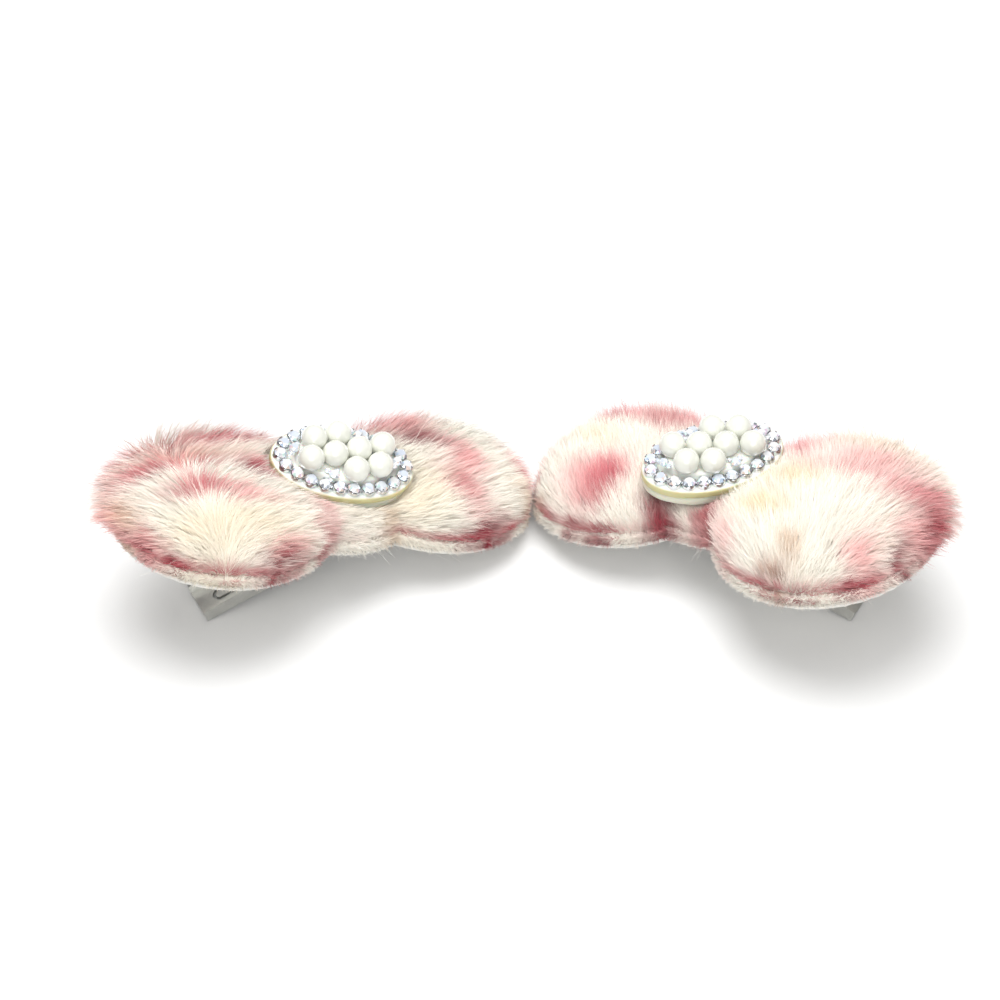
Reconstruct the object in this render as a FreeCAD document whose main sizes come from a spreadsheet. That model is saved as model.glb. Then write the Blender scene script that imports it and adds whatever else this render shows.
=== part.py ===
"""A pair of mirrored plush bow hair clips, lying end to end on a flat surface.

Each clip is a bow of two padded plush lobes on a felt backing, with an oval
pearl and rhinestone ornament on its waist and a sprung steel alligator clip
glued under it. Both bows are built in their own frame: the inner lobe points
to the middle of the pair, Z is the bow's normal, and zero height is the
underside of the felt backing. A placement then lays each clip down on the
tail of its lower arm and the tip of its inner lobe.
"""
import FreeCAD, Part
import math
import os
import Sketcher
from FreeCAD import Placement, Rotation, Vector

DIMENSIONS = {
    # pair layout: backing centre, turn about Z and tilt of each bow, in mm and degrees
    "shift_across": 0.0, "shift_deep": 0.0, "shift_up": 0.0,
    "left_across": -31.1, "left_deep": -14.3, "left_turn": 28.0,
    "right_across": 43.9, "right_deep": -13.2, "right_turn": -34.0,
    "bow_tilt": 17.4,
    # bow outline: two elliptical lobes joined by a straight waist
    "outer_centre": 24.5, "outer_half_length": 21.5,
    "left_outer_offset": -0.8, "left_outer_half_width": 17.8,
    "right_outer_offset": -3.5, "right_outer_half_width": 20.0,
    "inner_centre": 19.6, "inner_turn": 14.0, "inner_half_length": 20.0,
    "left_inner_offset": -2.0, "left_inner_half_width": 15.5,
    "right_inner_offset": -3.4, "right_inner_half_width": 16.4,
    "waist_half_length": 12.0, "waist_half_width": 13.0,
    # layers, counted up from the underside of the backing
    "backing_top": 0.8, "underlay_top": 2.6, "cover_top": 5.0,
    "droop_start": 28.5, "droop_radius": 34.0,
    "outer_crown": 8.0, "inner_crown": 6.4, "plush_wall": 2.4, "crown_inset": 0.2,
    # pile on the waist, pressed level under the ornament
    "saddle_offset": -1.0, "saddle_half_length": 16.5, "saddle_half_width": 12.0, "saddle_height": 5.6,
    # ornament: turn in the bow's plane, lean towards the far side and along the bow
    "ornament_seat": 7.3, "seat_gap": 0.1, "seat_wall": 1.2, "ring_turn": 19.0,
    "left_ornament_along": -1.0, "left_ornament_across": 0.8,
    "right_ornament_along": -1.6, "right_ornament_across": -0.1,
    "left_ornament_turn": 0.0, "left_ornament_lean": 11.0, "left_ornament_tip": 3.5,
    "right_ornament_turn": 34.0, "right_ornament_lean": 9.0, "right_ornament_tip": 12.0,
    "pad_half_length": 13.6, "pad_half_width": 8.2, "pad_thick": 2.2,
    "plate_half_length": 14.0, "plate_half_width": 8.6, "plate_thick": 1.8,
    "boss_half_length": 10.8, "boss_half_width": 5.3, "boss_height": 1.8,
    "ring_half_length": 12.3, "ring_half_width": 6.8, "ring_count": 22.0,
    "cup_radius": 1.3, "cup_height": 1.0, "stone_radius": 1.12,
    "stone_table": 0.7, "stone_sunk": 0.7, "stone_height": 1.2,
    "filler_radius": 1.05, "filler_height": 1.2, "filler_along": 4.2, "filler_across": 3.9,
    "end_filler_along": 9.3, "end_filler_across": 3.6,
    "pearl_radius": 2.5, "pearl_pitch": 5.05, "pearl_flat": 40.0,
    # alligator clip
    "left_clip_turn": 0.0, "right_clip_turn": 4.0,
    "glue_thick": 0.6, "glue_half_width": 3.0, "glue_tail": 18.0, "glue_tip": 20.0,
    "sheet_thick": 0.6, "clip_half_width": 4.0, "clip_tail": 24.0, "clip_tip": 28.0,
    "tail_drop": 21.5, "pivot_drop": 5.5, "jaw_drop": 2.6, "jaw_gap": 0.3,
    "wall_height": 3.0, "elbow_reach": 2.6, "tooth_start": 1.0, "tooth_count": 6.0,
    "tooth_pitch": 2.0, "tooth_depth": 0.8,
    "pivot_ring": 2.0, "ring_front": 3.5, "ring_back": 1.6,
    "tail_wall_height": 2.55, "tail_wall_run": 7.0,
    "ear_half_length": 2.2, "ear_radius": 1.7, "ear_gap": 0.3,
    "pin_radius": 1.0, "pin_clearance": 0.06, "pin_head_radius": 1.5,
    "pin_head_thick": 0.5, "pin_end_gap": 0.05,
    "coil_inner": 1.15, "coil_outer": 1.8, "coil_half_length": 1.4,
    "leg_radius": 0.25, "leg_length": 10.0, "leg_inset": 0.4, "leg_gap": 0.4,
    "stamp_half_width": 1.3, "stamp_length": 4.0, "stamp_slot": 0.6, "stamp_from_end": 4.5,
}

doc = FreeCAD.newDocument("plush_bow_clip_pair")
sheet = doc.addObject("Spreadsheet::Sheet", "Dimensions")
for row, (alias, value) in enumerate(DIMENSIONS.items(), start=1):
    sheet.set(f"A{row}", alias)
    sheet.set(f"B{row}", str(value))
    sheet.setAlias(f"B{row}", alias)
doc.recompute()

NODES = {}
SIDES = {"left": 1, "right": -1}
# farther out than any edge of a bow, in mm, and how far the droop's arc is drawn, in degrees
BEYOND = 60.0
DROOP_END = 30.0
# how far cutting shapes pass the steel they cut: a little, and past everything beside them, in mm
OVERRUN = 2.0
CLEAR = 6.0


def size(alias):
    """The sheet's value for one driving dimension."""
    return float(sheet.get(alias))


def cell(alias):
    """The same dimension as an expression."""
    return f"Dimensions.{alias}"


def bow_pose(side):
    """Expression that lays one bow down in the pair's frame."""
    sign = SIDES[side]
    place = f"vector({cell(side + '_across')} + {cell('shift_across')};"
    place += f" {cell(side + '_deep')} + {cell('shift_deep')}; {cell('shift_up')})"
    return f"placement({place}; rotation({cell(side + '_turn')}; {sign} * {cell('bow_tilt')}; 0))"


def clip_pose(side):
    """Expression for the steel clip, which may be glued on slightly askew."""
    turn = f"placement(vector(0; 0; 0); rotation({cell(side + '_clip_turn')}; 0; 0))"
    return f"{bow_pose(side)} * {turn}"


def ornament_pose(side):
    """Expression for the ornament's seat on the waist of the bow."""
    sign = SIDES[side]
    angles = f"{cell(side + '_ornament_turn')}; {-sign} * {cell(side + '_ornament_tip')};"
    angles += f" {cell(side + '_ornament_lean')}"
    place = f"{cell(side + '_ornament_along')}; {cell(side + '_ornament_across')}; {cell('ornament_seat')}"
    return f"{bow_pose(side)} * placement(vector({place}); rotation({angles}))"


def keep(node, obj, pose):
    """Label a finished sub-part, place it and list it for export."""
    obj.Label = node
    obj.setExpression("Placement", pose)
    NODES[node] = obj


def feature(node, shape, pose):
    """A sub-part with a free-form shape, placed after its shape is set."""
    obj = doc.addObject("Part::Feature", node)
    obj.Shape = shape
    keep(node, obj, pose)


def box(name, sign, tail, tip, half_width, low, high):
    """A box along the bow, from its tail side to its tip side, between two heights."""
    obj = doc.addObject("Part::Box", name)
    obj.setExpression("Length", f"({tail}) + ({tip})")
    obj.setExpression("Width", f"2 * ({half_width})")
    obj.setExpression("Height", f"({high}) - ({low})")
    obj.setExpression("Placement", box_place(sign, tail, tip, half_width, low))
    return obj


def box_place(sign, tail, tip, half_width, low):
    """Expression for the low corner of such a box."""
    start = tail if sign > 0 else tip
    return f"placement(vector(-({start}); -({half_width}); {low}); rotation(0; 0; 0))"


def cross_cylinder(name, radius, low, high, height):
    """A cylinder along Y at the pivot's place in the bow, between two Y values."""
    obj = doc.addObject("Part::Cylinder", name)
    obj.setExpression("Radius", radius)
    obj.setExpression("Height", f"({high}) - ({low})")
    obj.setExpression("Placement", f"placement(vector(0; {low}; {height}); rotation(0; 0; -90))")
    return obj


def fuse(name, parts):
    """Join several solids of one sub-part."""
    obj = doc.addObject("Part::MultiFuse", name)
    obj.Shapes = parts
    obj.Refine = True
    return obj


def cut(name, base, tool):
    """Take one solid away from another."""
    obj = doc.addObject("Part::Cut", name)
    obj.Base = base
    obj.Tool = tool
    return obj


# ---- soft bow ---------------------------------------------------------------

def ellipse_prism(centre, half_length, half_width, turn, low, high):
    """A prism with an elliptical section, its long axis turned about Z by degrees."""
    along = Rotation(Vector(0, 0, 1), turn).multVec(Vector(1, 0, 0))
    across = Rotation(Vector(0, 0, 1), turn).multVec(Vector(0, 1, 0))
    base = Vector(centre.x, centre.y, low)
    ellipse = Part.Ellipse(base + along * half_length, base + across * half_width, base)
    face = Part.Face(Part.Wire(ellipse.toShape()))
    return face.extrude(Vector(0, 0, high - low))


def bow_outline(side, low, high):
    """The bow's plan, two lobes and the waist between them, as one tall prism."""
    sign = SIDES[side]
    outer = ellipse_prism(Vector(-sign * size("outer_centre"), size(side + "_outer_offset"), 0),
                          size("outer_half_length"), size(side + "_outer_half_width"), 0, low, high)
    inner = ellipse_prism(Vector(sign * size("inner_centre"), size(side + "_inner_offset"), 0),
                          size("inner_half_length"), size(side + "_inner_half_width"),
                          -sign * size("inner_turn"), low, high)
    reach = size("waist_half_length")
    half = size("waist_half_width")
    waist = Part.makeBox(2 * reach, 2 * half, high - low, Vector(-reach, -half, low))
    return outer.fuse([inner, waist]).removeSplitter()


def bent_slab(sign, low, high):
    """A wide slab, flat under the outer lobe and drooping on an arc under the inner one."""
    start = size("droop_start")
    radius = size("droop_radius")
    end = math.radians(DROOP_END)

    def on_arc(angle, height):
        arm = radius + height
        return Vector(sign * (start + arm * math.sin(angle)), -BEYOND, arm * math.cos(angle) - radius)

    corners = [Vector(-sign * BEYOND, -BEYOND, low), on_arc(0, low), on_arc(end, low),
               on_arc(end, high), on_arc(0, high), Vector(-sign * BEYOND, -BEYOND, high)]
    edges = [Part.LineSegment(corners[0], corners[1]).toShape(),
             Part.Arc(corners[1], on_arc(end / 2, low), corners[2]).toShape(),
             Part.LineSegment(corners[2], corners[3]).toShape(),
             Part.Arc(corners[3], on_arc(end / 2, high), corners[4]).toShape(),
             Part.LineSegment(corners[4], corners[5]).toShape(),
             Part.LineSegment(corners[5], corners[0]).toShape()]
    return Part.Face(Part.Wire(edges)).extrude(Vector(0, 2 * BEYOND, 0))


def layer(side, low, high):
    """One flat layer of the bow, cut to its outline and bent with its droop."""
    return bow_outline(side, -BEYOND, BEYOND).common(bent_slab(SIDES[side], low, high))


def ellipsoid(centre, half_length, half_width, height, angles):
    """A turned ellipsoid."""
    stretch = FreeCAD.Matrix()
    stretch.scale(half_length, half_width, height)
    ball = Part.makeSphere(1.0).transformGeometry(stretch)
    ball.Placement = Placement(centre, Rotation(*angles))
    return ball


def crown(side, lobe, inset):
    """The padded dome of a lobe, as the part of an ellipsoid above the lower plush layer."""
    sign = SIDES[side]
    offset = size(f"{side}_{lobe}_offset")
    if lobe == "outer":
        centre = Vector(-sign * size("outer_centre"), offset, size("underlay_top"))
        angles = (0, 0, 0)
    else:
        start = size("droop_start")
        radius = size("droop_radius")
        slope = math.asin((size("inner_centre") - start) / radius)
        fall = radius * (1 - math.cos(slope))
        centre = Vector(sign * size("inner_centre"), offset, size("underlay_top") - fall)
        angles = (-sign * size("inner_turn"), sign * math.degrees(slope), 0)
    all_round = inset + size("crown_inset")
    ball = ellipsoid(centre, size(lobe + "_half_length") - all_round,
                     size(f"{side}_{lobe}_half_width") - all_round, size(lobe + "_crown") - inset, angles)
    return ball.common(bent_slab(sign, size("underlay_top"), BEYOND))


def saddle(side):
    """The pile on the waist between the lobes, up to the ornament's seat."""
    centre = Vector(0, size("saddle_offset"), size("underlay_top"))
    ball = ellipsoid(centre, size("saddle_half_length"), size("saddle_half_width"),
                     size("saddle_height"), (0, 0, 0))
    return ball.common(bent_slab(SIDES[side], size("underlay_top"), BEYOND))


def seat_prism(side, margin, sink):
    """The room above the ornament's seat, with a margin round its plate, sunk below it."""
    sign = SIDES[side]
    prism = ellipse_prism(Vector(0, 0, 0), size("plate_half_length") + margin,
                          size("plate_half_width") + margin, -sign * size("ring_turn"), -sink, BEYOND)
    seat = Vector(size(side + "_ornament_along"), size(side + "_ornament_across"), size("ornament_seat"))
    prism.Placement = Placement(seat, Rotation(size(side + "_ornament_turn"),
                                               -sign * size(side + "_ornament_tip"),
                                               size(side + "_ornament_lean")))
    return prism


def make_bow(side):
    """Felt backing, two plush layers and a fibre filling in each lobe."""
    pose = bow_pose(side)
    wall = size("seat_wall")
    feature(side + "_felt_backing", layer(side, 0, size("backing_top")), pose)
    feature(side + "_plush_underlay", layer(side, size("backing_top"), size("underlay_top")), pose)
    fillings = []
    for lobe in ("outer", "inner"):
        filling = crown(side, lobe, size("plush_wall")).cut(seat_prism(side, wall, wall))
        feature(f"{side}_{lobe}_filling", filling, pose)
        fillings.append(filling)
    cover = layer(side, size("underlay_top"), size("cover_top"))
    cover = cover.fuse([crown(side, "outer", 0), crown(side, "inner", 0), saddle(side)])
    cover = cover.cut(fillings + [seat_prism(side, size("seat_gap"), 0)])
    feature(side + "_plush_cover", cover, pose)


# ---- ornament ---------------------------------------------------------------

def ring_places(sign):
    """Centres of the ring's stones, evenly spaced along an ellipse."""
    turn = -sign * size("ring_turn")
    ellipse = Part.Ellipse(Vector(0, 0, 0), size("ring_half_length"), size("ring_half_width"))
    points = ellipse.toShape().discretize(Number=int(size("ring_count")) + 1)[:-1]
    return [Rotation(Vector(0, 0, 1), turn).multVec(point) for point in points]


def pearl_places(sign):
    """Centres of the pearls, in nested rows of two, four and two."""
    pitch = size("pearl_pitch")
    row_step = pitch * math.sqrt(3) / 2
    rows = [(-0.5, 2, 1), (0.0, 4, 0), (0.5, 2, -1)]
    places = []
    for middle, count, row in rows:
        for index in range(count):
            along = (middle + index - (count - 1) / 2) * pitch
            places.append((sign * along, row * row_step))
    return places


def filler_places(sign):
    """Centres of the small stones that fill the gaps inside the ring."""
    near = Vector(sign * size("filler_along"), size("filler_across"), 0)
    end = Vector(-sign * size("end_filler_along"), size("end_filler_across"), 0)
    return [near, -near, end, -end]


def make_ornament(side):
    """Glue pad, oval plate with its raised middle, ring of cups with stones, filler stones, pearls."""
    sign = SIDES[side]
    pose = ornament_pose(side)
    turn = -sign * size("ring_turn")
    pad_top = size("pad_thick")
    plate_top = pad_top + size("plate_thick")
    boss_top = plate_top + size("boss_height")
    feature(side + "_ornament_pad",
            ellipse_prism(Vector(0, 0, 0), size("pad_half_length"), size("pad_half_width"), turn, 0, pad_top),
            pose)
    plate = ellipse_prism(Vector(0, 0, 0), size("plate_half_length"), size("plate_half_width"), turn,
                          pad_top, plate_top)
    boss = ellipse_prism(Vector(0, 0, 0), size("boss_half_length"), size("boss_half_width"), turn,
                         plate_top, boss_top)
    feature(side + "_ornament_plate", plate.fuse(boss), pose)
    cups = []
    stones = []
    stone_low = plate_top + size("cup_height") - size("stone_sunk")
    for place in ring_places(sign):
        cup = Part.makeCylinder(size("cup_radius"), size("cup_height"), place + Vector(0, 0, plate_top))
        stone = Part.makeCone(size("stone_radius"), size("stone_table"), size("stone_height"),
                              place + Vector(0, 0, stone_low))
        cups.append(cup.cut(stone))
        stones.append(stone)
    feature(side + "_cup_ring", Part.makeCompound(cups), pose)
    feature(side + "_ring_stones", Part.makeCompound(stones), pose)
    fillers = [Part.makeCone(size("filler_radius"), size("filler_radius") / 2, size("filler_height"),
                             place + Vector(0, 0, boss_top)) for place in filler_places(sign)]
    feature(side + "_filler_stones", Part.makeCompound(fillers), pose)
    for number, (along, across) in enumerate(pearl_places(sign), start=1):
        pearl = doc.addObject("Part::Sphere", f"{side}_pearl_{number}")
        pearl.setExpression("Radius", cell("pearl_radius"))
        pearl.setExpression("Angle1", f"-{cell('pearl_flat')}")
        height = f"{cell('pad_thick')} + {cell('plate_thick')} + {cell('boss_height')}"
        height += f" + {cell('pearl_radius')} * sin({cell('pearl_flat')} * 1 deg)"
        place = f"placement(vector({along}; {across}; {height}); rotation(0; 0; 0))"
        keep(f"{side}_pearl_{number}", pearl, f"{pose} * {place}")


# ---- alligator clip ---------------------------------------------------------

def arm_corners():
    """Side profile of the lower arm's sheet: tail end, elbow under the pivot, jaw tip."""
    tail = Vector(-size("clip_tail"), -size("tail_drop"), 0)
    tip = Vector(size("clip_tip"), -size("jaw_drop"), 0)
    pivot = Vector(0, -size("pivot_drop"), 0)
    reach = size("elbow_reach")
    to_pivot = pivot - tail
    tail_slope = math.atan2(to_pivot.y, to_pivot.x) - math.asin(reach / to_pivot.Length)
    back = pivot - tip
    jaw_slope = math.atan2(-back.y, -back.x) + math.asin(reach / back.Length)
    run = (tip.y - tail.y + math.tan(tail_slope) * tail.x - math.tan(jaw_slope) * tip.x)
    elbow_x = run / (math.tan(tail_slope) - math.tan(jaw_slope))
    elbow = Vector(elbow_x, tail.y + math.tan(tail_slope) * (elbow_x - tail.x), 0)
    return tail, elbow, tip, tail_slope, jaw_slope


def floor_line(height):
    """The lower arm's tail end, elbow and jaw tip, at a height above the underside of its sheet."""
    tail, elbow, tip, tail_slope, jaw_slope = arm_corners()
    up_tail = Vector(-math.sin(tail_slope), math.cos(tail_slope), 0)
    up_jaw = Vector(-math.sin(jaw_slope), math.cos(jaw_slope), 0)
    up_elbow = (up_tail + up_jaw).normalize()
    jaw_end = tip + up_jaw * height
    jaw_end.x = tip.x
    return [tail + up_tail * height, elbow + up_elbow * height, jaw_end]


def stood_up(sign, points):
    """Side profile points with their heights along Z, mirrored for the right clip."""
    return [Vector(sign * point.x, 0, point.y) for point in points]


def arm_profile(sign):
    """Closed side profile of the lower arm, with its wall tops and jaw teeth."""
    tail, _, tip, tail_slope, _ = arm_corners()
    top = -size("glue_thick") - size("sheet_thick") - size("jaw_gap")
    points = floor_line(0)
    points.append(Vector(tip.x, top, 0))
    for tooth in range(int(size("tooth_count"))):
        edge = tip.x - size("tooth_start") - tooth * size("tooth_pitch")
        points.append(Vector(edge, top, 0))
        points.append(Vector(edge - size("tooth_pitch") / 2, top - size("tooth_depth"), 0))
    ring_top = size("pivot_ring") - size("pivot_drop")
    points.append(Vector(size("ring_front"), ring_top, 0))
    points.append(Vector(-size("ring_back"), ring_top, 0))
    up_tail = Vector(-math.sin(tail_slope), math.cos(tail_slope), 0)
    run = size("tail_wall_run")
    wall_end = Vector(run, math.tan(tail_slope) * run, 0)
    points.append(tail + wall_end + up_tail * size("wall_height"))
    points.append(tail + up_tail * size("tail_wall_height"))
    return stood_up(sign, points)


def arm_pocket(sign):
    """Side profile of the room between the lower arm's walls, open at both ends and above."""
    *_, tail_slope, jaw_slope = arm_corners()
    floor = stood_up(sign, floor_line(size("sheet_thick")))
    floor[0] -= Vector(sign * math.cos(tail_slope), 0, math.sin(tail_slope)) * OVERRUN
    floor[2] += Vector(sign * math.cos(jaw_slope), 0, math.sin(jaw_slope)) * OVERRUN
    lift = Vector(-sign * math.sin(tail_slope), 0, math.cos(tail_slope)) * CLEAR
    wall_end = floor[0] + lift
    return floor + [Vector(floor[2].x, 0, CLEAR), Vector(wall_end.x, 0, CLEAR), wall_end]


def sketch_polygon(body, name, points):
    """A closed polygon sketch in the body's XZ plane, every corner fixed from the origin."""
    sketch = body.newObject("Sketcher::SketchObject", name)
    plane = [item for item in body.Origin.OriginFeatures if item.Role == "XZ_Plane"][0]
    sketch.AttachmentSupport = [(plane, "")]
    sketch.MapMode = "FlatFace"
    flat = [Vector(point.x, point.z, 0) for point in points]
    count = len(flat)
    for index in range(count):
        sketch.addGeometry(Part.LineSegment(flat[index], flat[(index + 1) % count]), False)
    for index in range(count):
        sketch.addConstraint(Sketcher.Constraint("Coincident", index, 2, (index + 1) % count, 1))
        sketch.addConstraint(Sketcher.Constraint("DistanceX", -1, 1, index, 1, flat[index].x))
        sketch.addConstraint(Sketcher.Constraint("DistanceY", -1, 1, index, 1, flat[index].y))
    return sketch


def make_lower_arm(side):
    """Bent channel of thin sheet with turned-up walls, jaw teeth, pin hole and a stamped slot."""
    sign = SIDES[side]
    body = doc.addObject("PartDesign::Body", side + "_arm_channel")
    outside = sketch_polygon(body, side + "_arm_outside", arm_profile(sign))
    pad = body.newObject("PartDesign::Pad", side + "_arm_pad")
    pad.Profile = outside
    pad.SideType = "Symmetric"
    pad.setExpression("Length", f"2 * {cell('clip_half_width')}")
    inside = sketch_polygon(body, side + "_arm_inside", arm_pocket(sign))
    pocket = body.newObject("PartDesign::Pocket", side + "_arm_pocket")
    pocket.Profile = inside
    pocket.SideType = "Symmetric"
    pocket.setExpression("Length", f"2 * ({cell('clip_half_width')} - {cell('sheet_thick')})")
    doc.recompute()
    hole = cross_cylinder(side + "_arm_hole", f"{cell('pin_radius')} + {cell('pin_clearance')}",
                          f"-{cell('clip_half_width')} - {OVERRUN}",
                          f"{cell('clip_half_width')} + {OVERRUN}",
                          f"-{cell('pivot_drop')}")
    stamp = doc.addObject("Part::Feature", side + "_arm_stamp")
    stamp.Shape = stamped_slot(sign)
    bored = cut(side + "_arm_bored", body, hole)
    keep(side + "_lower_arm", cut(side + "_lower_arm", bored, stamp), clip_pose(side))


def stamped_slot(sign):
    """A hairpin-shaped slot cut through the tail of the lower arm."""
    tail, _, _, tail_slope, _ = arm_corners()
    half = size("stamp_half_width")
    slot = size("stamp_slot")
    length = size("stamp_length")

    def obround(width):
        rod = Part.makeBox(length, 2 * width, 2 * OVERRUN, Vector(0, -width, -OVERRUN))
        return rod.fuse(Part.makeCylinder(width, 2 * OVERRUN, Vector(0, 0, -OVERRUN)))

    shape = obround(half).cut(obround(half - slot))
    start = size("stamp_from_end")
    shape.Placement = Placement(Vector(tail.x + start * math.cos(tail_slope), 0,
                                       tail.y + start * math.sin(tail_slope)),
                                Rotation(Vector(0, 1, 0), -math.degrees(tail_slope)))
    return shape if sign > 0 else shape.mirror(Vector(0, 0, 0), Vector(1, 0, 0))


def make_upper_arm(side):
    """Flat plate with two ears that hold the pin."""
    sign = SIDES[side]
    plate_low = f"-{cell('glue_thick')} - {cell('sheet_thick')}"
    plate = box(side + "_arm_plate", sign, cell("clip_tail"), cell("clip_tip"), cell("clip_half_width"),
                plate_low, f"-{cell('glue_thick')}")
    ear_face = f"({cell('clip_half_width')} - {cell('sheet_thick')} - {cell('ear_gap')})"
    trunk = box(side + "_ear_trunk", sign, cell("ear_half_length"), cell("ear_half_length"), ear_face,
                f"-{cell('pivot_drop')}", plate_low)
    rounding = cross_cylinder(side + "_ear_round", cell("ear_radius"), f"-{ear_face}", ear_face,
                              f"-{cell('pivot_drop')}")
    web = box(side + "_ear_web", sign, CLEAR, CLEAR, f"{ear_face} - {cell('sheet_thick')}",
              f"-{cell('pivot_drop')} - {CLEAR}", plate_low)
    ears = cut(side + "_ears", fuse(side + "_ear_blank", [trunk, rounding]), web)
    hole = cross_cylinder(side + "_ear_hole", cell("pin_radius"), -CLEAR, CLEAR,
                          f"-{cell('pivot_drop')}")
    blank = fuse(side + "_upper_blank", [plate, ears])
    keep(side + "_upper_arm", cut(side + "_upper_arm", blank, hole), clip_pose(side))


def make_pin(side):
    """Pivot pin with a low head outside each wall of the lower arm."""
    height = f"-{cell('pivot_drop')}"
    inner_face = f"({cell('clip_half_width')} + {cell('pin_end_gap')})"
    outer_face = f"({inner_face} + {cell('pin_head_thick')})"
    shaft = cross_cylinder(side + "_pin_shaft", cell("pin_radius"), f"-{outer_face}", outer_face, height)
    near = cross_cylinder(side + "_pin_near", cell("pin_head_radius"), f"-{outer_face}",
                          f"-{inner_face}", height)
    far = cross_cylinder(side + "_pin_far", cell("pin_head_radius"), inner_face, outer_face, height)
    keep(side + "_pivot_pin", fuse(side + "_pivot_pin", [shaft, near, far]), clip_pose(side))


def make_spring(side):
    """Torsion spring round the pin, as its coil's envelope and two legs towards the tails."""
    sign = SIDES[side]
    tail_slope = arm_corners()[3]
    pivot = Vector(0, 0, -size("pivot_drop"))
    half = size("coil_half_length")
    leg = size("leg_radius")
    inset = Vector(0, half - size("leg_inset"), 0)
    start = pivot - Vector(0, half, 0)
    across = Vector(0, 1, 0)
    run = size("leg_length")
    upper_end = Vector(-sign * run, 0, -size("glue_thick") - size("sheet_thick") - size("leg_gap"))
    fall = Vector(-sign * math.cos(tail_slope), 0, -math.sin(tail_slope))
    down = Vector(sign * math.sin(tail_slope), 0, -math.cos(tail_slope))
    lower_end = pivot + fall * run + down * (size("elbow_reach") - size("sheet_thick") - size("leg_gap"))
    sleeve = Part.makeCylinder(size("coil_outer"), 2 * half, start, across)
    upper = Part.makeCylinder(leg, (upper_end - pivot).Length, pivot - inset, upper_end - pivot)
    lower = Part.makeCylinder(leg, (lower_end - pivot).Length, pivot + inset, lower_end - pivot)
    bore = Part.makeCylinder(size("coil_inner"), 2 * half, start, across)
    feature(side + "_clip_spring", sleeve.fuse([upper, lower]).cut(bore), clip_pose(side))


def make_clip(side):
    """Glue bead, both arms, pivot pin and spring."""
    sign = SIDES[side]
    glue = box(side + "_glue_bead", sign, cell("glue_tail"), cell("glue_tip"), cell("glue_half_width"),
               f"-{cell('glue_thick')}", "0")
    corner = box_place(sign, cell("glue_tail"), cell("glue_tip"), cell("glue_half_width"),
                       f"-{cell('glue_thick')}")
    keep(side + "_glue_bead", glue, f"{clip_pose(side)} * {corner}")
    make_upper_arm(side)
    make_lower_arm(side)
    make_pin(side)
    make_spring(side)


# ---- assembly, checks and export --------------------------------------------

def whole_box():
    """Bounding box of every sub-part together."""
    total = FreeCAD.BoundBox()
    for obj in NODES.values():
        total.add(obj.Shape.optimalBoundingBox(False, False))
    return total


def centre_on_floor():
    """Shift the pair so that its box stands on the origin."""
    total = whole_box()
    shifts = {"shift_across": -total.Center.x, "shift_deep": -total.Center.y, "shift_up": -total.ZMin}
    for alias, value in shifts.items():
        sheet.set(alias, str(round(value, 4)))
    doc.recompute()


def check_document():
    """Stop if any object failed or any sub-part is not a valid closed solid."""
    for obj in doc.Objects:
        if "Invalid" in obj.State or "Error" in obj.State:
            raise RuntimeError(f"{obj.Label} did not recompute: {obj.State}")
    for node, obj in NODES.items():
        shape = obj.Shape
        if shape.isNull() or not shape.isValid() or not shape.Solids:
            raise RuntimeError(f"{node} is not a valid solid")


for side in SIDES:
    make_bow(side)
    make_ornament(side)
    make_clip(side)
doc.recompute()
centre_on_floor()
check_document()

os.makedirs("parts", exist_ok=True)
for node, obj in NODES.items():
    obj.Shape.exportStep(f"parts/{node}.step")
    print(f"{node}: {len(obj.Shape.Solids)} solid(s), {obj.Shape.Volume:.1f} mm3")
total = whole_box()
print(f"pair {total.XLength:.1f} x {total.YLength:.1f} x {total.ZLength:.1f} mm")
for alias in ("shift_across", "shift_deep", "shift_up"):
    print(alias, sheet.get(alias))
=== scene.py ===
import math

import bpy
import numpy as np
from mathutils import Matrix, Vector, kdtree


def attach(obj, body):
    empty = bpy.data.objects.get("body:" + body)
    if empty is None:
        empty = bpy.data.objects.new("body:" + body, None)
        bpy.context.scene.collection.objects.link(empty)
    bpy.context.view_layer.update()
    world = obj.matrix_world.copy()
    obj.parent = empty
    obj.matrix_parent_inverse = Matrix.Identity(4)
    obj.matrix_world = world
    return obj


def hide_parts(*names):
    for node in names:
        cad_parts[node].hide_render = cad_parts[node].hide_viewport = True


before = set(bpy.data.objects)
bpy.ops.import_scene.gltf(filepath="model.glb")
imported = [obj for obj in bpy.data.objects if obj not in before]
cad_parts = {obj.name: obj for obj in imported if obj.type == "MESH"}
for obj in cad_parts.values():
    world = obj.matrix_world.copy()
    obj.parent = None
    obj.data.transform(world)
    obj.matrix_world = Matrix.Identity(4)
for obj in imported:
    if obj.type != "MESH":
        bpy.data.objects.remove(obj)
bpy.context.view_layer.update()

# A mirrored pair of plush bow hair clips: two fur lobes and a narrow waist on a felt backing,
# a pearl and crystal ornament on the waist, an alligator clip underneath.
# Points are worked out in millimetres in each bow's own frame and turned into metres at the end.
# In that frame x runs along the bow towards its inner end, y towards the far side, z away from
# the felt, and z = 0 is the felt's underside.

RNG = np.random.default_rng(41)

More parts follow.
